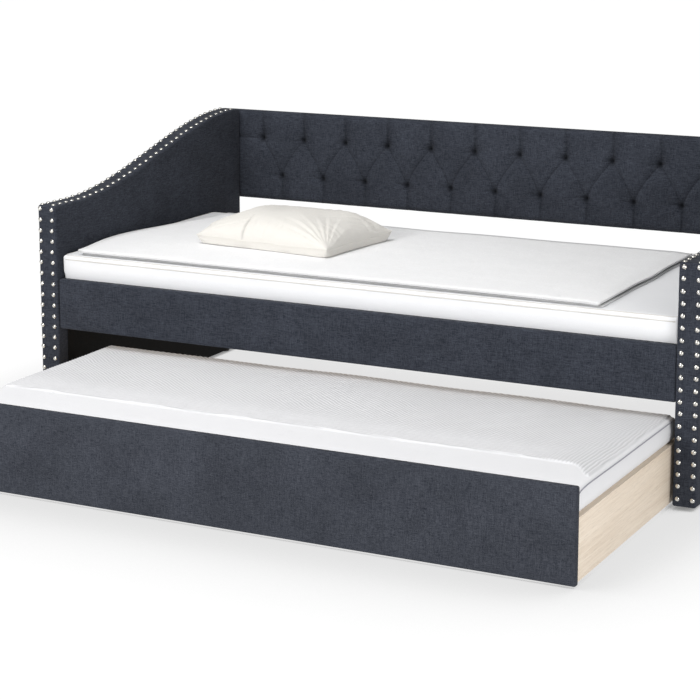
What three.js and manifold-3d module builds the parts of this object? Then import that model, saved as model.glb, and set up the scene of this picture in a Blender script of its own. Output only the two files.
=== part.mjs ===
// A daybed with padded arms and back, and a roll-out guest bed (the trundle) under it.
// Units are millimetres, +Z is up and the open side, the front, faces -Y.
// The shapes are written in bed coordinates: X = 0 is the inner face of the left arm, Y = 0 is the
// front of the arms and Z = 0 is the floor. The group is moved at the end, so that the origin is the
// middle of the whole object's footprint.
import * as THREE from "three";
import { mergeVertices } from "three/addons/utils/BufferGeometryUtils.js";
import { RoundedBoxGeometry } from "three/addons/geometries/RoundedBoxGeometry.js";
import Module from "manifold-3d";

const wasm = await Module();
wasm.setup();

// Clearance between pieces that touch.
const GAP = 0.3;

// Overall bed.
const INNER_LENGTH = 2030;
const ARM_THICKNESS = 67;
const ARM_DEPTH = 1160;
const GLIDE_HEIGHT = 12;

// Arms: low at the front, rising in an S to the height of the back.
const ARM_FRONT_HEIGHT = 698;
const ARM_BACK_HEIGHT = 886;
const CURVE_START = 130;
const CURVE_END = 1130;
const ARM_PADDING = 10;
const ARM_EDGE = 6;
const ARM_BACK_CORNER = 12;
const LINING = { thickness: 1.2, front: 50, back: 1128, bottom: 14, top: 300 };

// Padded back panel, fixed to the rear edges of both arms.
const BACK = { bottom: 560, top: 881, overlap: 61, thickness: 42, board: 15, cloth: 1.5 };

// Rails that join the arms.
const RAIL_FACE = 7;
const RAIL_THICKNESS = 24;
const RAIL_BOTTOM = 304;
const RAIL_TOP = 464;
const BACK_RAIL_TOP = 455;
const RAIL_PADDING = 6;

// Slatted base.
const DECK = 377;
const SLAT = { count: 11, width: 80, thickness: 18, endMargin: 70 };
const LEDGER = { width: 30, height: 30 };
const BEAM = { width: 40, y: 600 };
const BRACKET = { reach: 46, thickness: 3, height: 60, above: 3 };

// Bedding.
const MATTRESS = { length: 2022, width: 920, height: 163, front: 35, radius: 22 };
const BLANKET = { left: 20, right: 1800, front: 42, back: 868, thickness: 18 };
const PILLOW = { length: 500, width: 380, height: 106, x: 599, y: 468, turn: -6 };

// Trundle, drawn where it stands when it is pulled out to be made up.
const TRUNDLE_FACE = -717;
const TRUNDLE_LEFT = 10;
const TRUNDLE_RIGHT = 2020;
const TRUNDLE_BACK = 95;
const PANEL = { top: 262, bottom: 6, thickness: 15, padding: 5, radius: 4 };
const BOX_BOARD = { thickness: 18, top: 181, bottom: 16 };
const BASE = { bottom: 106, thickness: 12 };
const TRUNDLE_MATTRESS = { left: 152, right: 2000, front: -698, back: 74, top: 257, radius: 20 };

// Fixed casters under the trundle's base.
const WHEEL = { radius: 30, width: 20, axle: 4, inset: 82, frontY: -630, backY: 20 };
const FORK = { cheek: 3, gap: 2, depth: 26, plateX: 56, plateY: 60 };

const fabric = new THREE.MeshStandardMaterial({ color: 0x23262e, roughness: 0.95 });
const lining = new THREE.MeshStandardMaterial({ color: 0x111214, roughness: 0.95 });
const board = new THREE.MeshStandardMaterial({ color: 0xc9b394, roughness: 0.7 });
const oak = new THREE.MeshStandardMaterial({ color: 0xcdbba3, roughness: 0.6 });
const pine = new THREE.MeshStandardMaterial({ color: 0xd8bf95, roughness: 0.65 });
const steel = new THREE.MeshStandardMaterial({ color: 0x9a9ca0, roughness: 0.4, metalness: 1 });
const plastic = new THREE.MeshStandardMaterial({ color: 0x141414, roughness: 0.5 });
const tread = new THREE.MeshStandardMaterial({ color: 0x3a3a3c, roughness: 0.8 });
const ticking = new THREE.MeshStandardMaterial({ color: 0xf2f2f0, roughness: 0.9 });
const blanketCloth = new THREE.MeshStandardMaterial({ color: 0xf4f4f3, roughness: 0.95 });
const pillowCloth = new THREE.MeshStandardMaterial({ color: 0xf1eee6, roughness: 0.95 });

const daybed = new THREE.Group();
const frame = new THREE.Group();
const trundle = new THREE.Group();
daybed.add(frame, trundle);

// Adds one named solid to a group.
function place(group, name, geometry, material) {
  const mesh = new THREE.Mesh(geometry, material);
  mesh.name = name;
  group.add(mesh);
  return mesh;
}

// A box between two corners.
function box([x0, y0, z0], [x1, y1, z1]) {
  const geometry = new THREE.BoxGeometry(x1 - x0, y1 - y0, z1 - z0);
  return geometry.translate((x0 + x1) / 2, (y0 + y1) / 2, (z0 + z1) / 2);
}

// A box between two corners with its edges rounded.
function softBox([x0, y0, z0], [x1, y1, z1], radius, segments = 2) {
  const geometry = new RoundedBoxGeometry(x1 - x0, y1 - y0, z1 - z0, segments, radius);
  return geometry.translate((x0 + x1) / 2, (y0 + y1) / 2, (z0 + z1) / 2);
}

// A flat outline in the Y-Z plane given thickness along X, with its edges eased when bevel > 0.
function plateAlongX(points, x0, x1, bevel = 0) {
  const shape = new THREE.Shape(points.map(([y, z]) => new THREE.Vector2(y, z)));
  const geometry = new THREE.ExtrudeGeometry(shape, {
    depth: x1 - x0 - 2 * bevel,
    bevelEnabled: bevel > 0,
    bevelThickness: bevel,
    bevelSize: bevel,
    bevelOffset: -bevel,
    bevelSegments: 2,
  });
  geometry.translate(0, 0, x0 + bevel);
  const yzx = new THREE.Matrix4().makeBasis(
    new THREE.Vector3(0, 1, 0),
    new THREE.Vector3(0, 0, 1),
    new THREE.Vector3(1, 0, 0),
  );
  return geometry.applyMatrix4(yzx);
}

// A round bar along X.
function barAlongX(radius, x0, x1, y, z, sides = 24) {
  const geometry = new THREE.CylinderGeometry(radius, radius, x1 - x0, sides);
  return geometry.rotateZ(Math.PI / 2).translate((x0 + x1) / 2, y, z);
}

// A closed geometry as a solid that can be joined and cut.
function solid(geometry) {
  const bare = geometry.clone();
  bare.deleteAttribute("normal");
  bare.deleteAttribute("uv");
  const merged = mergeVertices(bare, 1e-4);
  return new wasm.Manifold(
    new wasm.Mesh({
      numProp: 3,
      vertProperties: new Float32Array(merged.attributes.position.array),
      triVerts: new Uint32Array(merged.index.array),
    }),
  );
}

// A joined or cut solid as a geometry again.
function geometryOf(made) {
  const mesh = made.getMesh();
  const geometry = new THREE.BufferGeometry();
  geometry.setAttribute("position", new THREE.BufferAttribute(mesh.vertProperties, 3));
  geometry.setIndex(new THREE.BufferAttribute(mesh.triVerts, 1));
  return geometry;
}

function cut(whole, ...tools) {
  let made = solid(whole);
  for (const tool of tools) made = made.subtract(solid(tool));
  return geometryOf(made);
}

function join(...pieces) {
  let made = solid(pieces[0]);
  for (const piece of pieces.slice(1)) made = made.add(solid(piece));
  return geometryOf(made);
}

// ---- Arms --------------------------------------------------------------------------------------

// Height of an arm's top edge at a distance from its front.
function armTop(y) {
  const t = THREE.MathUtils.clamp((y - CURVE_START) / (CURVE_END - CURVE_START), 0, 1);
  return ARM_FRONT_HEIGHT + (ARM_BACK_HEIGHT - ARM_FRONT_HEIGHT) * t * t * (3 - 2 * t);
}

// Outline of an arm, moved inwards by an inset except along the floor.
function armOutline(inset) {
  const steps = 22;
  const front = inset;
  const back = ARM_DEPTH - inset;
  const points = [
    [front, GLIDE_HEIGHT],
    [back, GLIDE_HEIGHT],
  ];
  const corner = ARM_BACK_CORNER;
  for (let i = 0; i <= 4; i++) {
    const a = (i / 4) * (Math.PI / 2);
    const y = back - corner + corner * Math.cos(a);
    const z = ARM_BACK_HEIGHT - inset - corner + corner * Math.sin(a);
    points.push([y, z]);
  }
  for (let i = 0; i <= steps; i++) {
    const y = CURVE_END - ((CURVE_END - CURVE_START) * i) / steps;
    points.push([y, armTop(y) - inset]);
  }
  points.push([front, ARM_FRONT_HEIGHT - inset]);
  return points;
}

// One arm: a shaped board, a padded cover that is open underneath, and two glides.
// outer and inner are the X of its outer and inner faces.
function arm(side, x0, x1) {
  const boardInset = ARM_PADDING + GAP;
  const core = plateAlongX(armOutline(boardInset), x0 + boardInset, x1 - boardInset);
  const pocket = plateAlongX(armOutline(ARM_PADDING), x0 + ARM_PADDING, x1 - ARM_PADDING);
  const mouth = box(
    [x0 + ARM_PADDING, ARM_PADDING, GLIDE_HEIGHT - 20],
    [x1 - ARM_PADDING, ARM_DEPTH - ARM_PADDING, GLIDE_HEIGHT + 20],
  );
  const whole = plateAlongX(armOutline(0), x0, x1, ARM_EDGE);
  const cover = cut(whole, pocket, mouth);
  place(frame, `${side}_arm_core`, core, board);
  place(frame, `${side}_arm_cover`, cover, fabric);
  for (const [end, y] of [
    ["front", 70],
    ["back", ARM_DEPTH - 70],
  ]) {
    const glide = new THREE.CylinderGeometry(19, 17, GLIDE_HEIGHT - GAP, 24);
    glide.rotateX(Math.PI / 2).translate((x0 + x1) / 2, y, (GLIDE_HEIGHT - GAP) / 2);
    place(frame, `${side}_${end}_glide`, glide, plastic);
  }
}

arm("left", -ARM_THICKNESS, 0);
arm("right", INNER_LENGTH, INNER_LENGTH + ARM_THICKNESS);

for (const [side, x0] of [
  ["left", GAP],
  ["right", INNER_LENGTH - GAP - LINING.thickness],
]) {
  const sheet = box(
    [x0, LINING.front, LINING.bottom],
    [x0 + LINING.thickness, LINING.back, LINING.top],
  );
  place(frame, `${side}_arm_lining`, sheet, lining);
}

// ---- Back panel --------------------------------------------------------------------------------

const backLeft = -BACK.overlap;
const backRight = INNER_LENGTH + BACK.overlap;
const backFace = ARM_DEPTH + GAP;
const backRear = backFace + BACK.thickness;
const boardRear = backRear - BACK.cloth - GAP;
const boardFront = boardRear - BACK.board;
place(
  frame,
  "back_panel_pad",
  softBox([backLeft, backFace, BACK.bottom], [backRight, boardFront - GAP, BACK.top], 8),
  fabric,
);
place(
  frame,
  "back_panel_core",
  box([backLeft + 4, boardFront, BACK.bottom + 4], [backRight - 4, boardRear, BACK.top - 4]),
  board,
);
place(
  frame,
  "back_panel_rear_cloth",
  box([backLeft + 2, backRear - BACK.cloth, BACK.bottom + 2], [backRight - 2, backRear, BACK.top - 2]),
  fabric,
);

// ---- Rails -------------------------------------------------------------------------------------

// A rail's padded wrap: the outer face, the top and the bottom, open on the face to the bed.
function rail(name, outerY, inwards, top) {
  const innerY = outerY + inwards * RAIL_THICKNESS;
  const coreY = outerY + inwards * (RAIL_PADDING + GAP);
  const pad = RAIL_PADDING + GAP;
  const span = (a, b) => [Math.min(a, b), Math.max(a, b)];
  const [w0, w1] = span(outerY, innerY);
  const [c0, c1] = span(coreY, innerY);
  const [k0, k1] = span(outerY + inwards * RAIL_PADDING, innerY + inwards * 10);
  const x0 = GAP;
  const x1 = INNER_LENGTH - GAP;
  const wrap = cut(
    box([x0, w0, RAIL_BOTTOM], [x1, w1, top]),
    box([x0 - 5, k0, RAIL_BOTTOM + RAIL_PADDING], [x1 + 5, k1, top - RAIL_PADDING]),
  );
  place(frame, `${name}_core`, box([x0, c0, RAIL_BOTTOM + pad], [x1, c1, top - pad]), board);
  place(frame, `${name}_cover`, wrap, fabric);
}

rail("front_rail", RAIL_FACE, 1, RAIL_TOP);
rail("back_rail", ARM_DEPTH, -1, BACK_RAIL_TOP);

const frontInner = RAIL_FACE + RAIL_THICKNESS;
const backInner = ARM_DEPTH - RAIL_THICKNESS;
const slatBottom = DECK - SLAT.thickness;
const ledgerTop = slatBottom - GAP;

for (const [name, y0] of [
  ["front_ledger", frontInner + GAP],
  ["back_ledger", backInner - GAP - LEDGER.width],
]) {
  const strip = box(
    [20, y0, ledgerTop - LEDGER.height],
    [INNER_LENGTH - 20, y0 + LEDGER.width, ledgerTop],
  );
  place(frame, name, strip, pine);
}

const beam = box(
  [GAP, BEAM.y - BEAM.width / 2, ledgerTop - LEDGER.height],
  [INNER_LENGTH - GAP, BEAM.y + BEAM.width / 2, ledgerTop],
);
place(frame, "centre_beam", beam, pine);

const slatPitch = (INNER_LENGTH - 2 * SLAT.endMargin - SLAT.width) / (SLAT.count - 1);
for (let i = 0; i < SLAT.count; i++) {
  const x0 = SLAT.endMargin + i * slatPitch;
  const slat = box(
    [x0, frontInner + 3, slatBottom],
    [x0 + SLAT.width, backInner - 3, DECK - GAP],
  );
  place(frame, `slat_${String(i + 1).padStart(2, "0")}`, slat, pine);
}

// Steel angles that fasten each rail to each arm, just above the slats.
function bracket(name, x, intoBed, y, inwards) {
  const z0 = DECK + BRACKET.above;
  const z1 = z0 + BRACKET.height;
  const xs = (a, b) => [Math.min(a, b), Math.max(a, b)];
  const [ax0, ax1] = xs(x + intoBed * GAP, x + intoBed * (GAP + BRACKET.thickness));
  const [ay0, ay1] = xs(y + inwards * GAP, y + inwards * (GAP + BRACKET.reach));
  const [bx0, bx1] = xs(x + intoBed * GAP, x + intoBed * (GAP + BRACKET.reach));
  const [by0, by1] = xs(y + inwards * GAP, y + inwards * (GAP + BRACKET.thickness));
  const alongArm = box([ax0, ay0, z0], [ax1, ay1, z1]);
  const alongRail = box([bx0, by0, z0], [bx1, by1, z1]);
  place(frame, name, join(alongArm, alongRail), steel);
}

bracket("bracket_front_left", 0, 1, frontInner, 1);
bracket("bracket_front_right", INNER_LENGTH, -1, frontInner, 1);
bracket("bracket_back_left", 0, 1, backInner, -1);
bracket("bracket_back_right", INNER_LENGTH, -1, backInner, -1);

// ---- Bedding -----------------------------------------------------------------------------------

const mattressLeft = (INNER_LENGTH - MATTRESS.length) / 2;
const mattressTop = DECK + MATTRESS.height;
place(
  frame,
  "mattress",
  softBox(
    [mattressLeft, MATTRESS.front, DECK],
    [mattressLeft + MATTRESS.length, MATTRESS.front + MATTRESS.width, mattressTop],
    MATTRESS.radius,
  ),
  ticking,
);

const blanketTop = mattressTop + GAP + BLANKET.thickness;
place(
  frame,
  "folded_blanket",
  softBox(
    [BLANKET.left, BLANKET.front, mattressTop + GAP],
    [BLANKET.right, BLANKET.back, blanketTop],
    7,
  ),
  blanketCloth,
);

// A filled pillow: a flat rectangle blown up in the middle and thin at its edges.
function pillowGeometry({ length, width, height }) {
  const geometry = new THREE.BoxGeometry(length, width, height, 14, 12, 1);
  const position = geometry.attributes.position;
  for (let i = 0; i < position.count; i++) {
    const u = Math.abs((2 * position.getX(i)) / length);
    const v = Math.abs((2 * position.getY(i)) / width);
    const fullness = Math.sqrt(Math.max(0, (1 - u ** 2.6) * (1 - v ** 2.6)));
    const share = 0.1 + 0.9 * fullness;
    position.setZ(i, position.getZ(i) * share);
  }
  return geometry;
}

const pillow = place(frame, "pillow", pillowGeometry(PILLOW), pillowCloth);
pillow.rotation.z = THREE.MathUtils.degToRad(PILLOW.turn);
pillow.position.set(PILLOW.x, PILLOW.y, blanketTop + GAP + PILLOW.height / 2);

// ---- Trundle -----------------------------------------------------------------------------------

const panelRear = TRUNDLE_FACE + PANEL.thickness;
const panelPad = PANEL.padding + GAP;
const panelCover = cut(
  softBox(
    [TRUNDLE_LEFT, TRUNDLE_FACE, PANEL.bottom],
    [TRUNDLE_RIGHT, panelRear + PANEL.radius, PANEL.top],
    PANEL.radius,
  ),
  box(
    [TRUNDLE_LEFT + PANEL.padding, TRUNDLE_FACE + PANEL.padding, PANEL.bottom + PANEL.padding],
    [TRUNDLE_RIGHT - PANEL.padding, panelRear + 50, PANEL.top - PANEL.padding],
  ),
  box([TRUNDLE_LEFT - 50, panelRear, -50], [TRUNDLE_RIGHT + 50, panelRear + 50, PANEL.top + 50]),
);
place(trundle, "trundle_front_cover", panelCover, fabric);
place(
  trundle,
  "trundle_front_core",
  box(
    [TRUNDLE_LEFT + panelPad, TRUNDLE_FACE + panelPad, PANEL.bottom + panelPad],
    [TRUNDLE_RIGHT - panelPad, panelRear, PANEL.top - panelPad],
  ),
  board,
);

const boxFront = panelRear + GAP;
const innerLeft = TRUNDLE_LEFT + BOX_BOARD.thickness + GAP;
const innerRight = TRUNDLE_RIGHT - BOX_BOARD.thickness - GAP;
const innerBack = TRUNDLE_BACK - BOX_BOARD.thickness - GAP;
for (const [side, x0] of [
  ["left", TRUNDLE_LEFT],
  ["right", TRUNDLE_RIGHT - BOX_BOARD.thickness],
]) {
  const plank = box(
    [x0, boxFront, BOX_BOARD.bottom],
    [x0 + BOX_BOARD.thickness, TRUNDLE_BACK, BOX_BOARD.top],
  );
  place(trundle, `trundle_${side}_board`, plank, oak);
}
place(
  trundle,
  "trundle_back_board",
  box([innerLeft, innerBack + GAP, BOX_BOARD.bottom], [innerRight, TRUNDLE_BACK, BOX_BOARD.top]),
  oak,
);
place(
  trundle,
  "trundle_base",
  box([innerLeft, boxFront, BASE.bottom], [innerRight, innerBack, BASE.bottom + BASE.thickness]),
  pine,
);
place(
  trundle,
  "trundle_mattress",
  softBox(
    [TRUNDLE_MATTRESS.left, TRUNDLE_MATTRESS.front, BASE.bottom + BASE.thickness + GAP],
    [TRUNDLE_MATTRESS.right, TRUNDLE_MATTRESS.back, TRUNDLE_MATTRESS.top],
    TRUNDLE_MATTRESS.radius,
  ),
  ticking,
);

// One fixed caster: a folded fork under the base, a pin through it and a wheel on the pin.
function caster(name, x, y) {
  const half = WHEEL.width / 2;
  const inner = half + FORK.gap;
  const outer = inner + FORK.cheek;
  const plateTop = BASE.bottom - GAP;
  const plateBottom = plateTop - FORK.cheek;
  const z = WHEEL.radius;
  const fork = cut(
    join(
      box(
        [x - FORK.plateX / 2, y - FORK.plateY / 2, plateBottom],
        [x + FORK.plateX / 2, y + FORK.plateY / 2, plateTop],
      ),
      box([x - outer, y - FORK.depth / 2, z], [x - inner, y + FORK.depth / 2, plateTop - 1]),
      box([x + inner, y - FORK.depth / 2, z], [x + outer, y + FORK.depth / 2, plateTop - 1]),
      barAlongX(FORK.depth / 2, x - outer, x - inner, y, z),
      barAlongX(FORK.depth / 2, x + inner, x + outer, y, z),
    ),
    barAlongX(WHEEL.axle + GAP, x - outer - 5, x + outer + 5, y, z, 16),
  );
  const wheel = cut(
    barAlongX(WHEEL.radius, x - half, x + half, y, z, 40),
    barAlongX(WHEEL.axle + GAP, x - half - 5, x + half + 5, y, z, 16),
    ringGroove(x - half, y, z),
    ringGroove(x + half, y, z),
  );
  place(trundle, `${name}_fork`, fork, steel);
  place(trundle, `${name}_axle`, barAlongX(WHEEL.axle, x - outer - 3, x + outer + 3, y, z, 16), steel);
  place(trundle, `${name}_wheel`, wheel, tread);
}

// The shallow dished ring in each side of a wheel, between its hub and its tread.
function ringGroove(x, y, z) {
  const depth = 3;
  const hub = 10;
  const rim = WHEEL.radius - 6;
  const profile = [
    new THREE.Vector2(hub, 0),
    new THREE.Vector2(rim, 0),
    new THREE.Vector2(rim, 2 * depth),
    new THREE.Vector2(hub, 2 * depth),
    new THREE.Vector2(hub, 0),
  ];
  const ring = new THREE.LatheGeometry(profile, 32);
  return ring.rotateZ(Math.PI / 2).translate(x + depth, y, z);
}

for (const [end, y] of [
  ["front", WHEEL.frontY],
  ["back", WHEEL.backY],
]) {
  caster(`caster_${end}_left`, TRUNDLE_LEFT + WHEEL.inset, y);
  caster(`caster_${end}_right`, TRUNDLE_RIGHT - WHEEL.inset, y);
}

daybed.position.set(-INNER_LENGTH / 2, -(TRUNDLE_FACE + backRear) / 2, 0);

export default daybed;
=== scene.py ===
"""Looks for an upholstered daybed with a roll-out trundle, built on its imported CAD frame.

Lengths are metres. The shapes are written in bed coordinates: X = 0 is the inner face of the left
arm, Y = 0 the front of the arms and Z = 0 the floor. add_mesh() moves them into the CAD's frame.
"""

import math

import bpy
import numpy as np
from mathutils import Matrix, Vector


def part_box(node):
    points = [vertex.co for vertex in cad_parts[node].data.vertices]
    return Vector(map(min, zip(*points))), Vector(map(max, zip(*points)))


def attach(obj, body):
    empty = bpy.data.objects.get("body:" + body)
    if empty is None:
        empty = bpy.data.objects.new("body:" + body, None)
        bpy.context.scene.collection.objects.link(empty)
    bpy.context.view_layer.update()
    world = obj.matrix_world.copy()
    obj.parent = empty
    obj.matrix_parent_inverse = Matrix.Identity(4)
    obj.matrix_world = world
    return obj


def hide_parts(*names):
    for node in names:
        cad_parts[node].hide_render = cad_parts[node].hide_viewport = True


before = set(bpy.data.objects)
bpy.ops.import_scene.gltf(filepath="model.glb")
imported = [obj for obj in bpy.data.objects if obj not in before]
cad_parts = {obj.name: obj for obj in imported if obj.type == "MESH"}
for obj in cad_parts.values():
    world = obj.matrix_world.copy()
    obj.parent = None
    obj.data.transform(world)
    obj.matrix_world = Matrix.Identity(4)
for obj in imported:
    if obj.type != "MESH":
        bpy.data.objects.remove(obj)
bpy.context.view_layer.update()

# ---- Dimensions read from the frame ------------------------------------------------------------

arm_low, arm_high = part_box("left_arm_cover")
ORIGIN = np.array([arm_high.x, arm_low.y, 0.0])


def bed_box(node):
    """Lowest and highest corner of a CAD node in bed coordinates."""
    low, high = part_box(node)
    return np.array(low) - ORIGIN, np.array(high) - ORIGIN


ARM_LOW, ARM_HIGH = bed_box("left_arm_cover")
INNER_LENGTH = bed_box("right_arm_cover")[0][0]
ARM_THICKNESS = -ARM_LOW[0]
DEPTH = ARM_HIGH[1]
ARM_FRONT_HEIGHT = 0.698
ARM_BACK_HEIGHT = ARM_HIGH[2]
CURVE_START, CURVE_END = 0.130, 1.130
ARM_BACK_CORNER = 0.012
ARM_EDGE_RADIUS = 0.0075

# ---- Camera ------------------------------------------------------------------------------------

# Place in bed coordinates, angles in degrees, lens in millimetres, shift as a share of the frame.
CAMERA_PLACE = (3.697, -5.240, 1.744)
CAMERA_YAW, CAMERA_PITCH = 26.92, -10.58
CAMERA_LENS = 105.53
CAMERA_SHIFT = -0.1429


def make_camera():
    """The camera, a little above the bed and to the right of it."""
    yaw, pitch = math.radians(CAMERA_YAW), math.radians(CAMERA_PITCH)
    forward = Vector(
        (-math.sin(yaw) * math.cos(pitch), math.cos(yaw) * math.cos(pitch), math.sin(pitch))
    )
    right = Vector((math.cos(yaw), math.sin(yaw), 0))
    up = right.cross(forward)
    data = bpy.data.cameras.new("camera")
    data.sensor_width = 36
    data.lens = CAMERA_LENS
    data.shift_y = CAMERA_SHIFT
    data.clip_start, data.clip_end = 0.1, 200
    camera = bpy.data.objects.new("camera", data)
    bpy.context.scene.collection.objects.link(camera)
    turned = Matrix((right, up, -forward)).transposed()
    place = Vector(CAMERA_PLACE) + Vector(ORIGIN)
    camera.matrix_world = Matrix.Translation(place) @ turned.to_4x4()
    bpy.context.scene.camera = camera


make_camera()

# ---- Materials ---------------------------------------------------------------------------------


class Paint:
    """A procedural material under construction."""

    def __init__(self, name, roughness=0.8, **settings):
        self.material = bpy.data.materials.new(name)
        self.material.use_nodes = True
        self.tree = self.material.node_tree
        self.shader = self.tree.nodes["Principled BSDF"]
        self.shader.inputs["Roughness"].default_value = roughness
        for key, value in settings.items():
            self.shader.inputs[key.replace("_", " ")].default_value = value
        self.place = self.node("ShaderNodeTexCoord").outputs["Object"]
        self.height = None

    def node(self, kind, inputs=None, **settings):
        made = self.tree.nodes.new(kind)
        for key, value in settings.items():
            setattr(made, key, value)
        for key, value in (inputs or {}).items():
            if isinstance(value, bpy.types.NodeSocket):
                self.tree.links.new(value, made.inputs[key])
            else:
                made.inputs[key].default_value = value
        return made

    def scaled(self, scale):
        inputs = {"Vector": self.place, "Scale": scale}
        return self.node("ShaderNodeMapping", inputs).outputs["Vector"]

    def noise(self, vector, scale=1.0, detail=2.0, roughness=0.5, distortion=0.0):
        inputs = {
            "Vector": vector,
            "Scale": scale,
            "Detail": detail,
            "Roughness": roughness,
            "Distortion": distortion,
        }
        return self.node("ShaderNodeTexNoise", inputs).outputs["Fac"]

    def math(self, operation, a, b=0.5, c=0.5):
        return self.node("ShaderNodeMath", {0: a, 1: b, 2: c}, operation=operation).outputs[0]

    def stretch(self, value, low, high, to_low=0.0, to_high=1.0):
        inputs = {
            "Value": value,
            "From Min": low,
            "From Max": high,
            "To Min": to_low,
            "To Max": to_high,
        }
        return self.node("ShaderNodeMapRange", inputs).outputs["Result"]

    def with_painted_shade(self, colour, amount):
        """The colour with painted shade: darkened by how much shade the mesh marks at each point.
        """
        painted_shade = self.node("ShaderNodeAttribute", attribute_name="painted_shade").outputs["Fac"]
        shade = self.stretch(painted_shade, 0.0, 1.0, 1.0, 1.0 - amount)
        return self.blend(1.0, colour, shade, "MULTIPLY")

    def blend(self, share, a, b, mode="MIX"):
        made = self.node("ShaderNodeMix", data_type="RGBA", blend_type=mode)
        for index, value in ((0, share), (6, a), (7, b)):
            if isinstance(value, bpy.types.NodeSocket):
                self.tree.links.new(value, made.inputs[index])
            else:
                made.inputs[index].default_value = value
        return made.outputs[2]

    def colour(self, socket):
        self.tree.links.new(socket, self.shader.inputs["Base Color"])

    def roughness(self, socket):
        self.tree.links.new(socket, self.shader.inputs["Roughness"])

    def bump(self, height, distance, strength=1.0):
        inputs = {"Height": height, "Distance": distance, "Strength": strength}
        made = self.node("ShaderNodeBump", inputs)
        if self.height:
            self.tree.links.new(self.height, made.inputs["Normal"])
        self.height = made.outputs["Normal"]
        self.tree.links.new(self.height, self.shader.inputs["Normal"])


def rgb(red, green, blue):
    return (red, green, blue, 1.0)


def melange(name, dark, light):
    """Linen-look upholstery: two shades of yarn, slubs both ways of the cloth, a fine weave, and
    painted shade where the mesh marks it.
    """
    paint = Paint(name, roughness=0.95, Sheen_Weight=0.04, Sheen_Roughness=0.5)
    paint.shader.inputs["Specular IOR Level"].default_value = 0.06
    weft = paint.noise(paint.scaled((48, 48, 620)), detail=4, roughness=0.65)
    warp = paint.noise(paint.scaled((620, 620, 48)), detail=4, roughness=0.65)
    grain = paint.noise(paint.place, scale=420, detail=2)
    cloud = paint.noise(paint.place, scale=9, detail=3)
    yarn = paint.math("ADD", paint.math("MULTIPLY", weft, 0.42), paint.math("MULTIPLY", warp, 0.33))
    yarn = paint.math("ADD", yarn, paint.math("MULTIPLY", grain, 0.25))
    share = paint.stretch(yarn, 0.5 - 0.105, 0.5 + 0.105)
    two_tone = paint.blend(share, rgb(*dark), rgb(*light))
    shade = paint.stretch(cloud, 0.3, 0.7, 0.88, 1.12)
    # Painted shade: the colour is dimmed by up to 0.8 where the mesh marks shade.
    paint.colour(paint.with_painted_shade(paint.blend(1.0, two_tone, shade, "MULTIPLY"), 0.8))
    paint.bump(yarn, 0.0008, 0.7)
    return paint.material


def white_cloth(name, colour, fuzz=1.0, grain=700.0, sheen=0.2, shaded=0.22):
    """Soft white cloth with a fine knit, faint unevenness, and painted shade where the mesh marks
    it, by the share in shaded.
    """
    paint = Paint(name, roughness=0.95, Sheen_Weight=sheen, Sheen_Roughness=0.6)
    paint.shader.inputs["Specular IOR Level"].default_value = 0.1
    knit = paint.noise(paint.place, scale=grain, detail=2)
    cloud = paint.noise(paint.place, scale=14, detail=4, roughness=0.6)
    shade = paint.stretch(cloud, 0.3, 0.7, 1 - 0.015 * fuzz, 1.0)
    fleck = paint.stretch(knit, 0.35, 0.65, 1 - 0.03 * fuzz, 1.0)
    toned = paint.blend(1.0, rgb(*colour), shade, "MULTIPLY")
    # Painted shade where the mesh marks it, up to the share given in shaded.
    paint.colour(paint.with_painted_shade(paint.blend(1.0, toned, fleck, "MULTIPLY"), shaded))
    paint.bump(knit, 0.0006, 0.5 * fuzz)
    paint.bump(cloud, 0.004, 0.25 * fuzz)
    return paint


def timber(name, light, dark, along, figure=1.0, roughness=0.5):
    """Plain sawn or veneered wood with its grain along one axis."""
    paint = Paint(name, roughness=roughness)
    fine = [70.0, 70.0, 70.0]
    fine[along] = 2.2
    pores = [900.0, 900.0, 900.0]
    pores[along] = 24.0
    bands = paint.noise(paint.scaled(tuple(fine)), detail=5, roughness=0.62, distortion=0.8)
    specks = paint.noise(paint.scaled(tuple(pores)), detail=2)
    share = paint.stretch(bands, 0.34, 0.66)
    base = paint.blend(paint.math("MULTIPLY", share, figure), rgb(*light), rgb(*dark))
    pore = paint.stretch(specks, 0.32, 0.48, 0.86, 1.0)
    paint.colour(paint.blend(1.0, base, pore, "MULTIPLY"))
    paint.roughness(paint.stretch(specks, 0.3, 0.7, roughness + 0.12, roughness - 0.05))
    paint.bump(specks, 0.0004, 0.35)
    return paint.material


def worn_metal(name, colour, roughness, scale=160.0):
    paint = Paint(name, roughness=roughness, Metallic=1.0)
    smear = paint.noise(paint.place, scale=scale, detail=4)
    paint.colour(
        paint.blend(paint.stretch(smear, 0.3, 0.7), rgb(*colour), rgb(*(0.72 * c for c in colour)))
    )
    paint.roughness(paint.stretch(smear, 0.25, 0.75, roughness - 0.06, roughness + 0.1))
    return paint.material


def moulded(name, colour, roughness, scale=900.0):
    paint = Paint(name, roughness=roughness)
    grain = paint.noise(paint.place, scale=scale, detail=2)
    shade = paint.stretch(grain, 0.3, 0.7, 0.85, 1.1)
    paint.colour(paint.blend(1.0, rgb(*colour), shade, "MULTIPLY"))
    paint.bump(grain, 0.0003, 0.5)
    return paint.material


UPHOLSTERY = melange("upholstery", (0.0140, 0.0165, 0.0235), (0.0560, 0.0620, 0.0780))
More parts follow.
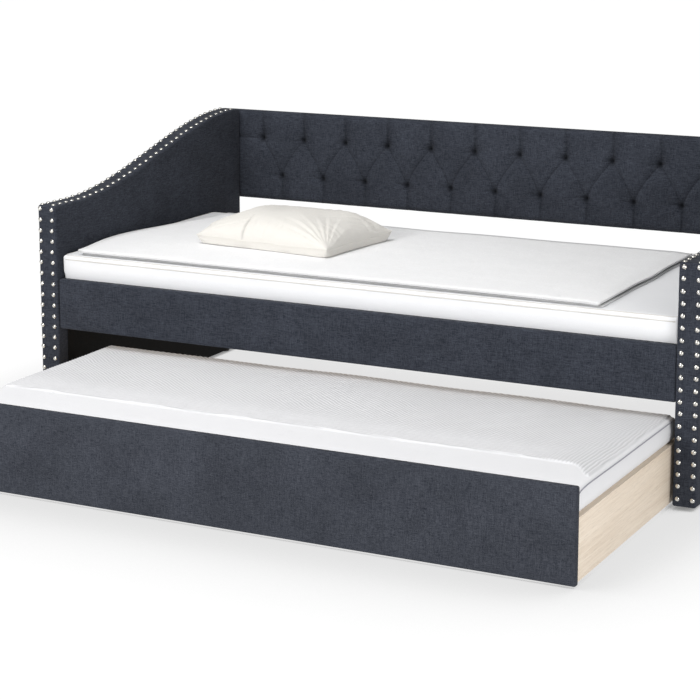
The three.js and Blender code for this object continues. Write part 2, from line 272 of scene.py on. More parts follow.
# A lighter copy of the upholstery for the trundle's front: painted light, for the brighter light
# that falls on that face.
UPHOLSTERY_LIT_FOR_TRUNDLE = melange("upholstery_lit_for_trundle", (0.0190, 0.0220, 0.0300), (0.0660, 0.0710, 0.0860))
LINING = melange("black_lining", (0.004, 0.004, 0.004), (0.009, 0.009, 0.009))
OAK, PINE = {}, {}
for grain_axis in (0, 1):
    OAK[grain_axis] = timber(
        f"oak_{grain_axis}", (0.84, 0.73, 0.60), (0.73, 0.61, 0.48), grain_axis
    )
for grain_axis in (0, 1):
    PINE[grain_axis] = timber(
        f"pine_{grain_axis}", (0.70, 0.54, 0.34), (0.58, 0.40, 0.22), grain_axis
    )
BOARD = timber("raw_board", (0.50, 0.38, 0.25), (0.38, 0.27, 0.17), 0, 0.6, 0.8)
NICKEL = worn_metal("nail_nickel", (0.78, 0.76, 0.71), 0.22)
ZINC = worn_metal("zinc", (0.62, 0.63, 0.65), 0.38)
BLACK_PLASTIC = moulded("glide_plastic", (0.02, 0.02, 0.021), 0.5)
WHEEL_RUBBER = moulded("wheel_rubber", (0.045, 0.045, 0.048), 0.75)


def pillow_cotton():
    """Crinkled cream cotton: crepe-like puckers over a fine weave."""
    paint = white_cloth("pillow_cotton", (0.735, 0.712, 0.668), 1.4, 900.0, shaded=0.40)
    stretched = paint.scaled((1.0, 0.45, 0.8))
    crinkle = paint.noise(stretched, scale=150, detail=3, roughness=0.6, distortion=0.9)
    paint.bump(crinkle, 0.004, 0.30)
    return paint.material


TICKING = white_cloth("mattress_jersey", (0.83, 0.835, 0.85), shaded=0.30).material
RIBBED_KNIT = white_cloth("mattress_knit", (0.775, 0.775, 0.79), shaded=0.34).material
BLANKET_CLOTH = white_cloth("blanket_fleece", (0.90, 0.90, 0.905), 2.2, 300.0, 0.35, 0.5).material
PILLOW_CLOTH = pillow_cotton()
WHITE_THREAD = white_cloth("piping_thread", (0.62, 0.60, 0.57), 1.0, 1200.0).material
SEAM_THREAD = white_cloth("seam_thread", (0.30, 0.30, 0.34), 1.0, 1200.0).material

# ---- Mesh building -----------------------------------------------------------------------------


def add_mesh(name, points, faces, material, body):
    """A mesh object from points in bed coordinates, riding on a body."""
    mesh = bpy.data.meshes.new(name)
    mesh.from_pydata((np.asarray(points, float) + ORIGIN).tolist(), [], faces)
    mesh.materials.append(material)
    mesh.shade_smooth()
    made = bpy.data.objects.new(name, mesh)
    bpy.context.scene.collection.objects.link(made)
    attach(made, body)
    return made


def mark_painted_shade(obj, values):
    """Stores how much painted shade each point of a mesh gets, from 0 to 1, most in creases,
    dimples and valleys.
    """
    attribute = obj.data.attributes.new("painted_shade", "FLOAT", "POINT")
    attribute.data.foreach_set("value", np.clip(values, 0, 1).astype(np.float32))


def apply_modifiers(obj):
    """Replaces an object's mesh with what its modifiers make of it."""
    graph = bpy.context.evaluated_depsgraph_get()
    final = bpy.data.meshes.new_from_object(obj.evaluated_get(graph))
    obj.modifiers.clear()
    old = obj.data
    obj.data = final
    bpy.data.meshes.remove(old)


def stations(low, high, radius, step, corner=3):
    """Places along one edge of a box: close together in its rounded ends, even between them."""
    ends = radius * (1 - np.arange(corner) / corner)
    count = max(1, round((high - low - 2 * radius) / step))
    middle = np.linspace(low + radius, high - radius, count + 1)
    return np.concatenate([low + radius - ends, middle, high - radius + ends[::-1]])


def soft_box(low, high, radius, step, open_side=None, corner=3):
    """Points and faces of a box with rounded edges. open_side is (axis, 0 or 1): a missing face."""
    low, high = np.array(low, float), np.array(high, float)
    step = np.broadcast_to(np.array(step, float), 3)
    lines = [stations(low[a], high[a], radius, step[a], corner) for a in range(3)]
    count = [len(line) for line in lines]
    index, points, faces = {}, [], []

    def vertex(key):
        if key not in index:
            index[key] = len(points)
            corner_point = np.array([lines[a][key[a]] for a in range(3)])
            core = np.clip(corner_point, low + radius, high - radius)
            away = corner_point - core
            points.append(core + radius * away / np.linalg.norm(away))
        return index[key]

    for axis in range(3):
        b, c = (axis + 1) % 3, (axis + 2) % 3
        for side in (0, 1):
            if open_side == (axis, side):
                continue
            at = side * (count[axis] - 1)
            for i in range(count[b] - 1):
                for j in range(count[c] - 1):
                    ring = []
                    for di, dj in ((0, 0), (1, 0), (1, 1), (0, 1)):
                        key = [0, 0, 0]
                        key[axis], key[b], key[c] = at, i + di, j + dj
                        ring.append(vertex(tuple(key)))
                    faces.append(ring if side else ring[::-1])
    return np.array(points), faces


def shell(obj, thickness):
    """Gives an open surface thickness inwards."""
    solid = obj.modifiers.new("cloth and foam", "SOLIDIFY")
    solid.thickness = thickness
    solid.offset = -1
    apply_modifiers(obj)


def smooth_step(value, low, high):
    """0 below low, 1 above high, and a smooth rise between them."""
    t = np.clip((value - low) / (high - low), 0, 1)
    return t * t * (3 - 2 * t)


def ripples(points, wave, seed):
    """Smooth random unevenness between -1 and 1 over a set of points."""
    generator = np.random.default_rng(seed)
    total = np.zeros(len(points))
    for _ in range(9):
        direction = generator.normal(size=3)
        direction /= np.linalg.norm(direction) * wave * generator.uniform(0.7, 1.5)
        total += np.sin(2 * math.pi * (points @ direction) + generator.uniform(0, 7))
    return total / 4.5


# ---- Arms --------------------------------------------------------------------------------------


def arm_top(y):
    """Height of an arm's top edge at a distance from its front, with its back corner rounded."""
    rise = (ARM_BACK_HEIGHT - ARM_FRONT_HEIGHT) * smooth_step(y, CURVE_START, CURVE_END)
    into = np.clip(y - (DEPTH - ARM_BACK_CORNER), 0, ARM_BACK_CORNER)
    drop = ARM_BACK_CORNER - np.sqrt(ARM_BACK_CORNER**2 - into**2)
    return ARM_FRONT_HEIGHT + rise - drop


def make_arm(side, x0, x1, outward):
    """One arm's padded cover, open underneath. outward is -1 on the left arm and 1 on the right."""
    low = (x0, 0.0, ARM_LOW[2])
    high = (x1, DEPTH, ARM_FRONT_HEIGHT)
    points, faces = soft_box(
        low, high, ARM_EDGE_RADIUS, (0.02, 0.014, 0.014), open_side=(2, 0), corner=4
    )
    lift = (arm_top(points[:, 1]) - ARM_FRONT_HEIGHT) * smooth_step(points[:, 2], 0.35, 0.685)
    points[:, 2] += lift
    middle = (x0 + x1) / 2
    across = (points[:, 0] - middle) / (x1 - x0) * 2
    top = arm_top(points[:, 1])
    edge_gap = np.minimum.reduce(
        [points[:, 1], DEPTH - points[:, 1], top - points[:, 2], points[:, 2] - ARM_LOW[2] + 0.05]
    )
    puff = 0.0022 * smooth_step(edge_gap, 0.0, 0.07)
    inner = np.sign(across) == -outward
    below_rail = 1 - smooth_step(points[:, 2], 0.30, 0.40)
    puff = np.where(inner, puff * (1 - below_rail), puff)
    points[:, 0] += np.sign(across) * puff * (np.abs(across) > 0.7)
    hem = 1 - smooth_step(points[:, 2], 0.02, 0.12)
    wave = ripples(points * (1, 1, 0.4), 0.055, 3 if outward < 0 else 4)
    points[:, 1] -= 0.0016 * wave * hem * (points[:, 1] < 0.01)
    points[:, 1] -= 0.0008 * ripples(points, 0.11, 5) * (points[:, 1] < 0.01)
    cover = add_mesh(f"{side}_arm_fabric", points, faces, UPHOLSTERY, "frame")
    shell(cover, 0.006)
    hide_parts(f"{side}_arm_cover")


make_arm("left", -ARM_THICKNESS, 0.0, -1)
make_arm("right", INNER_LENGTH, INNER_LENGTH + ARM_THICKNESS, 1)

# ---- Nailheads ---------------------------------------------------------------------------------

NAIL_RADIUS = 0.0072
NAIL_PITCH = 0.0342
NAIL_OUTER, NAIL_INNER = 0.009, 0.015


def nail_dome(centre, normal, radius):
    """Points and faces of one domed head that stands on a surface."""
    side = np.cross(normal, (1.0, 0.0, 0.0))
    side /= np.linalg.norm(side)
    other = np.cross(normal, side)
    rings, around = 5, 14
    points, faces = [], []
    for r in range(rings):
        angle = (r / rings) * math.pi / 2
        reach = radius * math.cos(angle)
        rise = 0.62 * radius * math.sin(angle)
        for k in range(around):
            turn = 2 * math.pi * k / around
            spoke = math.cos(turn) * side + math.sin(turn) * other
            points.append(centre + reach * spoke + rise * normal)
    points.append(centre + 0.62 * radius * normal)
    points.append(centre - 0.0015 * normal)
    top, bottom = len(points) - 2, len(points) - 1
    for r in range(rings - 1):
        for k in range(around):
            a, b = r * around + k, r * around + (k + 1) % around
            faces.append((a, a + around, b + around, b))
    last = (rings - 1) * around
    for k in range(around):
        n = (k + 1) % around
        faces.append((last + k, top, last + n))
        faces.append((k, n, bottom))
    return points, faces


def nail_places(x, seed):
    """Centres and normals of the nails of one row: up the front face, then back along the top."""
    generator = np.random.default_rng(seed)
    places = []
    z = ARM_FRONT_HEIGHT - 0.012
    while z > 0.03:
        places.append(((x, 0.0, z), (0.0, -1.0, 0.0)))
        z -= NAIL_PITCH
    y, walked, wanted = 0.012, 0.0, 0.0
    step = 0.001
    while y < DEPTH - 0.035:
        slope = (arm_top(y + step) - arm_top(y)) / step
        if walked >= wanted:
            length = math.hypot(1, slope)
            places.append(((x, y, float(arm_top(y))), (0.0, -slope / length, 1 / length)))
            wanted += NAIL_PITCH
        walked += step * math.hypot(1, slope)
        y += step
    jitter = generator.normal(0, 0.0006, (len(places), 3))
    return [
        (np.array(centre) + shift * (1 - np.abs(np.array(normal))), np.array(normal))
        for (centre, normal), shift in zip(places, jitter)
    ]


def make_nails(side, columns):
    """Every nail of one arm as a single piece, with one row of nails per column."""
    points, faces = [], []
    for number, x in enumerate(columns):
        for centre, normal in nail_places(x, 20 + number + (10 if side == "right" else 0)):
            dome, dome_faces = nail_dome(centre, normal, NAIL_RADIUS)
            faces += [tuple(v + len(points) for v in face) for face in dome_faces]
            points += dome
    add_mesh(f"{side}_arm_nails", points, faces, NICKEL, "frame")


make_nails("left", (-ARM_THICKNESS + NAIL_OUTER, -NAIL_INNER))
make_nails("right", (INNER_LENGTH + NAIL_INNER, INNER_LENGTH + ARM_THICKNESS - NAIL_OUTER))

# ---- Back panel --------------------------------------------------------------------------------

PAD_LOW, PAD_HIGH = bed_box("back_panel_pad")
TUFT_PITCH = 0.166
TOP_TUFTS = [(0.090 + TUFT_PITCH * i, 0.783) for i in range(12)]
LOW_TUFTS = [(0.167 + TUFT_PITCH * i, 0.650) for i in range(11)]
TUFT_DEPTH = 0.0125
PLEAT_DEPTH = 0.0050


def tuft_folds():
    """The creases between tufts as (points, half width, depth): diagonals and the end folds."""
    folds = []
    for x, z in TOP_TUFTS:
        for px, pz in LOW_TUFTS:
            if abs(px - x) < 0.13:
                mid = ((x + px) / 2 + 0.006 * np.sign(px - x), (z + pz) / 2 + 0.004)
                start = (x + 0.25 * (px - x), z - 0.20 * (z - pz))
                end = (x + 0.80 * (px - x), z - 0.72 * (z - pz))
                folds.append(([(x, z), start, mid, end, (px, pz)], 0.026, 0.0034))
    for x, z in LOW_TUFTS:
        folds.append(([(x, z), (x - 0.034, z + 0.002)], 0.016, 0.0030))
    for x, z in TOP_TUFTS:
        folds.append(([(x, z), (x - 0.030, z - 0.004)], 0.014, 0.0022))
    folds.append(([(PAD_LOW[0], TOP_TUFTS[0][1] + 0.002), TOP_TUFTS[0]], 0.026, 0.0040))
    folds.append(([TOP_TUFTS[-1], (PAD_HIGH[0], TOP_TUFTS[-1][1] + 0.002)], 0.026, 0.0040))
    return folds


def pleats(x, z):
    """Upright pleats from tuft to nearer edge: a sharp lip, then a soft rise to its right."""
    depth = np.zeros(x.shape)
    for row, edge in ((TOP_TUFTS, PAD_HIGH[2]), (LOW_TUFTS, PAD_LOW[2])):
        for tx, tz in row:
            run = (z - tz) / (edge - tz)
            side = x - tx - 0.003 * np.sin(3 * run)
            across = np.where(side > 0, np.exp(-side / 0.016), np.exp(side / 0.0016))
            along = smooth_step(run, -0.12, 0.06) * (1 - 0.55 * np.clip(run, 0, 1))
            depth = np.maximum(depth, across * along)
    return depth


def distance_to_path(x, z, path):
    """Distance from each point to a polyline."""
    best = np.full(x.shape, 9.0)
    for (ax, az), (bx, bz) in zip(path, path[1:]):
        dx, dz = bx - ax, bz - az
        t = np.clip(((x - ax) * dx + (z - az) * dz) / (dx * dx + dz * dz), 0, 1)
        best = np.minimum(best, np.hypot(x - ax - t * dx, z - az - t * dz))
    return best


def tufted_depth(x, z):
    """How far the cover stands back from its fullest plane, and how much shade is painted there in
    its creases, tuft dimples and pleats.
    """
    depth = np.zeros(x.shape)
    crease_shade = np.zeros(x.shape)
    for path, width, amount in tuft_folds():
        gap = distance_to_path(x, z, path)
        valley = np.clip(1 - gap / width, 0, 1) ** 2
        line = np.clip(1 - gap / 0.0032, 0, 1)
        depth = np.maximum(depth, amount * valley + 0.0020 * line)
        crease_shade = np.maximum(crease_shade, 0.40 * line * (width > 0.020))
    for tx, tz in TOP_TUFTS + LOW_TUFTS:
        gap = np.hypot(x - tx, (z - tz) * 0.85)
        depth = depth + TUFT_DEPTH * np.exp(-((gap / 0.0160) ** 1.3))
        crease_shade = np.maximum(crease_shade, np.exp(-((gap / 0.0110) ** 2)))
    folded = pleats(x, z)
    return depth + PLEAT_DEPTH * folded, np.maximum(crease_shade, 0.62 * folded)


def make_back_pad():
    """The tufted pad: a fine grid for its face, with plain sides and a flat rear."""
    face_y, rear_y = PAD_LOW[1] + 0.002, PAD_HIGH[1]
    xs = np.arange(PAD_LOW[0], PAD_HIGH[0], 0.0036)
    xs = np.append(xs, PAD_HIGH[0])
    zs = np.linspace(PAD_LOW[2], PAD_HIGH[2], 96)
    grid_x, grid_z = np.meshgrid(xs, zs, indexing="ij")
    depth, crease_shade = tufted_depth(grid_x, grid_z)
    edge = np.minimum(grid_z - PAD_LOW[2], PAD_HIGH[2] - grid_z)
    ends = np.minimum(grid_x - PAD_LOW[0], PAD_HIGH[0] - grid_x)
    for gap, radius in ((edge, 0.020), (ends, 0.008)):
        inside = np.clip(1 - gap / radius, 0, 1)
        depth = depth + radius * 0.9 * (1 - np.sqrt(1 - inside**2))
    flat = np.stack([grid_x, grid_z * 0, grid_z], -1).reshape(-1, 3)
    depth = depth - 0.0007 * ripples(flat, 0.05, 8).reshape(depth.shape)
    notch = np.zeros_like(depth)
    for x, _ in TOP_TUFTS:
        notch += 0.0016 * np.exp(-(((grid_x - x) / 0.010) ** 2)) * (grid_z > PAD_HIGH[2] - 0.004)
    points = np.stack([grid_x, face_y + depth, grid_z - notch], -1)
    nx, nz = len(xs), len(zs)
    count = nx * nz
    faces = []
    for i in range(nx - 1):
        for j in range(nz - 1):
            a = i * nz + j
            faces.append((a, a + nz, a + nz + 1, a + 1))
    loop = [i * nz for i in range(nx)]
    loop += [(nx - 1) * nz + j for j in range(1, nz)]
    loop += [i * nz + nz - 1 for i in range(nx - 2, -1, -1)]
    loop += [j for j in range(nz - 2, 0, -1)]
    flat_points = points.reshape(-1, 3)
    rear = flat_points[loop].copy()
    rear[:, 1] = rear_y
    for k in range(len(loop)):
        n = (k + 1) % len(loop)
        faces.append((loop[k], count + k, count + n, loop[n]))
    faces.append(tuple(range(count + len(loop) - 1, count - 1, -1)))
    pad = add_mesh(
        "back_pad_fabric",
        np.vstack([flat_points, rear]),
        faces,
        UPHOLSTERY,
        "frame",
    )
    # Painted shade in the creases, tuft dimples and pleats of the face; none on the rear.
    mark_painted_shade(pad, np.append(crease_shade.ravel(), np.zeros(len(rear))))
    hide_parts("back_panel_pad")


make_back_pad()

# ---- Rails and the trundle's front -------------------------------------------------------------


BOARD_EDGE_RADIUS = 0.006
BOARD_PUFF = 0.0012


def padded_board(name, node, open_side, wall, body, seed, cloth=UPHOLSTERY):
    """A board's padded cover with eased edges, open on one side, in place of its CAD solid."""
    radius = BOARD_EDGE_RADIUS
    low, high = bed_box(node)
    reach = [0.0, 0.0, 0.0]
    axis, side = open_side
    reach[axis] = radius
    low = low - np.array(reach) * (1 - side)
    high = high + np.array(reach) * side
    points, faces = soft_box(low, high, radius, 0.02, open_side, corner=4)
    keep = (low + np.array(reach) * (1 - side))[axis], (high - np.array(reach) * side)[axis]
    points[:, axis] = np.clip(points[:, axis], *keep)
    outer = keep[1 - side]
    front = np.abs(points[:, axis] - outer) < radius * 0.3
    gap = np.minimum(points[:, 2] - low[2], high[2] - points[:, 2])
    swell = BOARD_PUFF * smooth_step(gap, 0.0, 0.06) * (1 + 0.35 * ripples(points, 0.23, seed))
    points[:, axis] += np.where(front, swell, 0) * (-1 if side else 1)
    made = add_mesh(name, points, faces, cloth, body)
    shell(made, wall)
    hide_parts(node)


padded_board("front_rail_fabric", "front_rail_cover", (1, 1), 0.0045, "frame", 11)
padded_board("back_rail_fabric", "back_rail_cover", (1, 0), 0.0045, "frame", 12)
padded_board(
    "trundle_front_fabric", "trundle_front_cover", (1, 1), 0.004, "trundle", 13, UPHOLSTERY_LIT_FOR_TRUNDLE
)

# ---- Lining, boards, slats and hardware --------------------------------------------------------


def dress(node, material, bevel=0.0):
    """Gives a CAD node its material and, where it is a sawn board, slightly eased edges."""
    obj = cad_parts[node]
    obj.data.materials.clear()
    obj.data.materials.append(material)
    if bevel:
        eased = obj.modifiers.new("eased edges", "BEVEL")
        eased.width = bevel
        eased.segments = 2
        eased.limit_method = "ANGLE"
        eased.angle_limit = math.radians(50)


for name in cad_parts:
    if name in ("back_panel_core", "back_panel_rear_cloth"):
        dress(name, UPHOLSTERY)
    elif name.endswith("_core"):
        dress(name, BOARD)
    elif name.endswith("_lining"):
        dress(name, LINING)
    elif name.startswith("slat_"):
        dress(name, PINE[1], 0.002)
    elif name in ("front_ledger", "back_ledger", "centre_beam", "trundle_base"):
        dress(name, PINE[0], 0.0015)
    elif name in ("trundle_left_board", "trundle_right_board"):
        dress(name, OAK[1], 0.0012)
    elif name == "trundle_back_board":
        dress(name, OAK[0], 0.0012)
    elif name.endswith("_glide"):
        dress(name, BLACK_PLASTIC, 0.001)
    elif name.endswith("_wheel"):
        dress(name, WHEEL_RUBBER, 0.0015)
    elif name.endswith(("_fork", "_axle")) or name.startswith("bracket_"):
        dress(name, ZINC, 0.0005)

# ---- Mattresses --------------------------------------------------------------------------------

PIPING_RADIUS = 0.0020
MATTRESS_OVERHANG = 0.008


def tube(path, radius, around=8, closed=False):
    """Points and faces of a round cord along a path, closed on itself or capped at its ends."""
    path = np.asarray(path, float)
    count = len(path)
    ahead = np.roll(path, -1, 0) - path if closed else np.gradient(path, axis=0)
    if closed:
        ahead = ahead + np.roll(ahead, 1, 0)
    ahead /= np.linalg.norm(ahead, axis=1)[:, None]
    steep = np.abs(ahead[:, 2]).max() >= 0.8
    helper = np.array((1.0, 0.0, 0.0)) if steep else np.array((0.0, 0.0, 1.0))
    side = np.cross(ahead, helper)
    side /= np.linalg.norm(side, axis=1)[:, None]
    other = np.cross(side, ahead)
    turns = np.linspace(0, 2 * math.pi, around, endpoint=False)
    rings = [path + radius * (math.cos(t) * side + math.sin(t) * other) for t in turns]
    points = np.stack(rings, 1).reshape(-1, 3)
    faces = []
    for i in range(count if closed else count - 1):
        n = (i + 1) % count
        for k in range(around):
            m = (k + 1) % around
            faces.append((i * around + k, n * around + k, n * around + m, i * around + m))
    if not closed:
        faces.append(tuple(range(around)))
        faces.append(tuple(range(count * around - 1, (count - 1) * around - 1, -1)))
    return points, faces


def rounded_loop(low, high, inset, corner, z, step=0.03):
    """A closed path around a box seen from above, at a height, with rounded corners."""
    x0, y0 = low[0] + inset, low[1] + inset
    x1, y1 = high[0] - inset, high[1] - inset
    path = []
    for cx, cy, start in (
        (x1 - corner, y0 + corner, -90),
        (x1 - corner, y1 - corner, 0),
        (x0 + corner, y1 - corner, 90),
        (x0 + corner, y0 + corner, 180),
    ):
        for k in range(7):
            a = math.radians(start + 15 * k)
            path.append((cx + corner * math.cos(a), cy + corner * math.sin(a), z))
    full = []
    for a, b in zip(path, path[1:] + path[:1]):
        a, b = np.array(a), np.array(b)
        count = max(1, round(np.linalg.norm(b - a) / step))
        full += [a + (b - a) * i / count for i in range(count)]
    return np.array(full)


def make_mattress():
    """The upper mattress: a foam block in its cover, with a double row of piping round its top."""
    low, high = bed_box("mattress")
    points, faces = soft_box(low, high, 0.010, 0.022, corner=5)
    gap = np.minimum(points[:, :2] - low[:2], high[:2] - points[:, :2]).min(axis=1)
    upper = smooth_step(points[:, 2], (low[2] + high[2]) / 2, high[2])
    points[:, 2] += upper * 0.0015 * (smooth_step(gap, 0.0, 0.18) - 0.9)
    wave = ripples(points, 0.16, 31)
    rail_top = bed_box("front_rail_cover")[1][2]
    above_rail = smooth_step(points[:, 2], rail_top, rail_top + 0.02)
    front = points[:, 1] < low[1] + 0.006
    points[:, 1] -= np.where(front, above_rail * (MATTRESS_OVERHANG + 0.0010 * wave), 0)
    made = add_mesh("mattress_foam", points, faces, TICKING, "frame")
    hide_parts("mattress")
    shift = np.array((0.0, -MATTRESS_OVERHANG, 0.0))
    for number, (inset, below) in enumerate(((0.0050, 0.0032), (0.0, 0.0145))):
        path = rounded_loop(low + shift, high, inset, 0.016, high[2] - below)
        cord, cord_faces = tube(path, PIPING_RADIUS, closed=True)
        name = f"mattress_piping_{number + 1}"
        add_mesh(name, cord, cord_faces, WHITE_THREAD, "frame")


make_mattress()

RIB_PITCH = 0.0105
RIB_HEIGHT = 0.0022
RIB_FRONT = -0.50


def rib_height(x, y, high):
    """The knitted ribs: along the bed at the front, slanting behind, turning at the right end.

    Returns their height, how far inside the ribbed area each point is, and how deep in a valley,
    which sets the shade painted into the valleys between ribs.
    """
    flat = np.stack([x, y, x * 0], -1).reshape(-1, 3)
    sway = ripples(flat, 0.055, 51).reshape(x.shape) * 0.16
    sway = sway + ripples(flat, 0.3, 52).reshape(x.shape) * 0.5
    along = (y - 0.02 * np.sin(2.2 * x)) / RIB_PITCH + sway
    slant = (0.60 * x + 0.80 * y) / RIB_PITCH + sway
    across = (x + 0.12 * (y + 0.4) ** 2) / RIB_PITCH + sway
    behind = smooth_step(y, RIB_FRONT + 0.05, RIB_FRONT + 0.22)
    ending = smooth_step(x - 0.25 * (y - RIB_FRONT), high[0] - 0.22, high[0] - 0.05)
    wave = (1 - behind) * np.cos(2 * math.pi * along) + behind * np.cos(2 * math.pi * slant)
    wave = (1 - ending) * wave + ending * np.cos(2 * math.pi * across)
    bend = 0.09 * smooth_step(x, high[0] - 0.11, high[0] - 0.01) ** 2
    inside = smooth_step(y, RIB_FRONT - bend, RIB_FRONT - bend + 0.006)
    inside = inside * smooth_step(high[0] - x, 0.010, 0.016)
    return RIB_HEIGHT * (0.5 + 0.5 * wave) * inside, inside, (0.5 - 0.5 * wave) * inside


def make_trundle_mattress():
    """The trundle's mattress: smooth cover round the front and sides, ribbed knit on top."""
    low, high = bed_box("trundle_mattress")
    bulge = 0.013
    left_end = np.linspace(low[0], low[0] + 0.03, 5)[:-1]
    xs = np.concatenate([left_end, np.arange(low[0] + 0.03, high[0], 0.0034)])
    xs = np.append(xs, high[0])
    ys = np.append(np.arange(low[1], high[1], 0.0030), high[1])
    x, y = np.meshgrid(xs, ys, indexing="ij")
    ribs, inside, valley = rib_height(x, y, high)
    top = high[2] - 0.0012 - 0.004 * (1 - inside)
    front_gap, back_gap = y - low[1], high[1] - y
    side_gap = np.minimum(x - low[0], high[0] - x)
    drop = np.zeros_like(x)
    roundings = ((front_gap, 0.10, 0.010), (back_gap, 0.022, 0.02), (side_gap, 0.010, 0.006))
    for gap, radius, depth in roundings:
        share = np.clip(1 - gap / radius, 0, 1)
        drop += depth * (1 - np.sqrt(1 - share**2))
    flat = np.stack([x, y, x * 0], -1).reshape(-1, 3)
    sag = 0.0016 * ripples(flat, 0.35, 53).reshape(x.shape) - 0.0016
    z = top + ribs - drop + sag
    nx, ny = len(xs), len(ys)
    stretched = x + bulge * smooth_step(x, high[0] - 0.25, high[0])
    points = [np.stack([stretched, y, z], -1).reshape(-1, 3)]
    faces = [
        (i * ny + j, (i + 1) * ny + j, (i + 1) * ny + j + 1, i * ny + j + 1)
        for i in range(nx - 1)
        for j in range(ny - 1)
    ]
    loop = [i * ny for i in range(nx)]
    loop += [(nx - 1) * ny + j for j in range(1, ny)]
    loop += [i * ny + ny - 1 for i in range(nx - 2, -1, -1)]
    loop += [j for j in range(ny - 2, 0, -1)]
    rim = points[0][loop]
    board_top = bed_box("trundle_right_board")[1][2]
    side = high[2] - 0.010 - board_top
    levels = [(0.80, 1.15), (0.58, 1.3), (0.35, 1.15), (0.13, 0.9)]
    levels = [(board_top + side * share, spread) for share, spread in levels]
    levels += [(board_top + 0.001, 0.0), (low[2], 0.0)]
    previous, total = loop, nx * ny
    right = rim[:, 0] > high[0] + bulge * 0.2
    for height, share in levels:
        ring = rim.copy()
        ring[:, 2] = height
        ring[:, 0] = np.where(right, high[0] + (rim[:, 0] - high[0]) * share, rim[:, 0])
        points.append(ring)
        current = list(range(total, total + len(loop)))
        for k in range(len(loop)):
            n = (k + 1) % len(loop)
            faces.append((previous[k], current[k], current[n], previous[n]))
        previous, total = current, total + len(loop)
    faces.append(tuple(reversed(previous)))
    made = add_mesh(
        "trundle_mattress_foam", np.vstack(points), faces, RIBBED_KNIT, "trundle"
    )
    # Painted shade in the valleys between the ribs; none on the sides.
    rest = np.zeros(len(made.data.vertices) - valley.size)
    mark_painted_shade(made, np.append(valley.ravel(), rest))
    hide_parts("trundle_mattress")
    edge = rim[(rim[:, 0] > high[0] + bulge * 0.99)]
    seam = edge[np.argsort(edge[:, 1])][::8] + (0.0006, 0.0, -0.0006)
    cord, cord_faces = tube(seam, 0.0017)
    add_mesh("trundle_mattress_seam", cord, cord_faces, SEAM_THREAD, "trundle")


make_trundle_mattress()

# ---- Folded blanket ----------------------------------------------------------------------------

BLANKET_LOW, BLANKET_HIGH = bed_box("folded_blanket")


def make_blanket():
    """A thin blanket folded in three along the bed: a sheet that turns back on itself twice."""
    low, high = BLANKET_LOW, BLANKET_HIGH
    ply = 0.0052
    pitch = (high[2] - low[2] - ply) / 2
    front, back = low[1] + 0.004, high[1] - 0.004
    run = np.linspace(0, 1, 34)
    profile = []
    for layer in range(3):
        z = low[2] + ply / 2 + layer * pitch
        if layer == 0:
            ys = front + 0.006 + (back - front - 0.006) * (1 - run)[::-1]
        elif layer == 1:
            ys = back + (front - back) * run
        else:
            ys = front + (back - front) * run
        profile += [(y, z) for y in ys]
        if layer < 2:
            edge, sign = (back, 1) if layer == 0 else (front, -1)
            for angle in np.linspace(-math.pi / 2, math.pi / 2, 7)[1:-1]:
                fold_y = edge + sign * pitch / 2 * math.cos(angle)
                profile.append((fold_y, z + pitch / 2 + pitch / 2 * math.sin(angle)))
    profile = np.array(profile)
    layers = np.round((profile[:, 1] - low[2] - ply / 2) / pitch)
    right_end = np.linspace(high[0] - 0.12, high[0], 16)
    xs = np.concatenate([np.linspace(low[0], high[0] - 0.12, 66)[:-1], right_end])
    points = np.array([(x, y, z) for x in xs for y, z in profile])
    layer = np.tile(layers, len(xs))
    share = (points[:, 2] - low[2]) / (high[2] - low[2])
    flat_wave = ripples(points * (1, 1, 0), 0.24, 41)
    points[:, 2] += 0.0010 * flat_wave * share
    points[:, 1] += 0.002 * ripples(points * (1, 0, 3), 0.4, 42)
    end = smooth_step(points[:, 0], high[0] - 0.075, high[0])
    start = 1 - smooth_step(points[:, 0], low[0], low[0] + 0.45)
    depth_share = (points[:, 1] - low[1]) / (high[1] - low[1])
    points[:, 2] -= 0.0045 * share * end**2
    points[:, 0] += end * np.choose(layer.astype(int), (0.0, -0.010, -0.004))
    points[:, 0] += 0.004 * ripples(points * (0, 1, 6), 0.3, 43) * (end + start)
    inward = 0.036 * np.exp(-((depth_share / 0.16) ** 2))
    inward = inward + 0.10 * smooth_step(depth_share, 0.35, 1.0)
    points[:, 0] += start * (inward + 0.005 * (2 - layer) * (depth_share < 0.5))
    n = len(profile)
    faces = [
        (i * n + j, i * n + j + 1, (i + 1) * n + j + 1, (i + 1) * n + j)
        for i in range(len(xs) - 1)
        for j in range(n - 1)
    ]
    blanket = add_mesh("blanket_sheet", points, faces, BLANKET_CLOTH, "frame")
    edge_gap = np.minimum(points[:, 1] - points[:, 1].min(), high[0] - points[:, 0])
    between_plies = np.abs((np.tile(profile[:, 1], len(xs)) - low[2] - ply / 2) / pitch - layer)
    # Painted shade on the lower plies away from the front edge and right end, and a lighter share
    # where the sheet turns between plies.
    buried_ply_shade = (layer < 2) * smooth_step(edge_gap, 0.0, 0.010)
    mark_painted_shade(blanket, np.maximum(buried_ply_shade, (between_plies > 0.25) * 0.45))
    solid = blanket.modifiers.new("cloth", "SOLIDIFY")
    solid.thickness = ply * 0.8
    solid.offset = 0
    apply_modifiers(blanket)
    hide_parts("folded_blanket")


make_blanket()

# ---- Pillow ------------------------------------------------------------------------------------

PILLOW_LOW, PILLOW_HIGH = bed_box("pillow")
PILLOW_LENGTH, PILLOW_WIDTH, PILLOW_TURN = 0.50, 0.38, math.radians(-6)
PILLOW_SEAM = 0.024
PILLOW_CORD = 0.0014


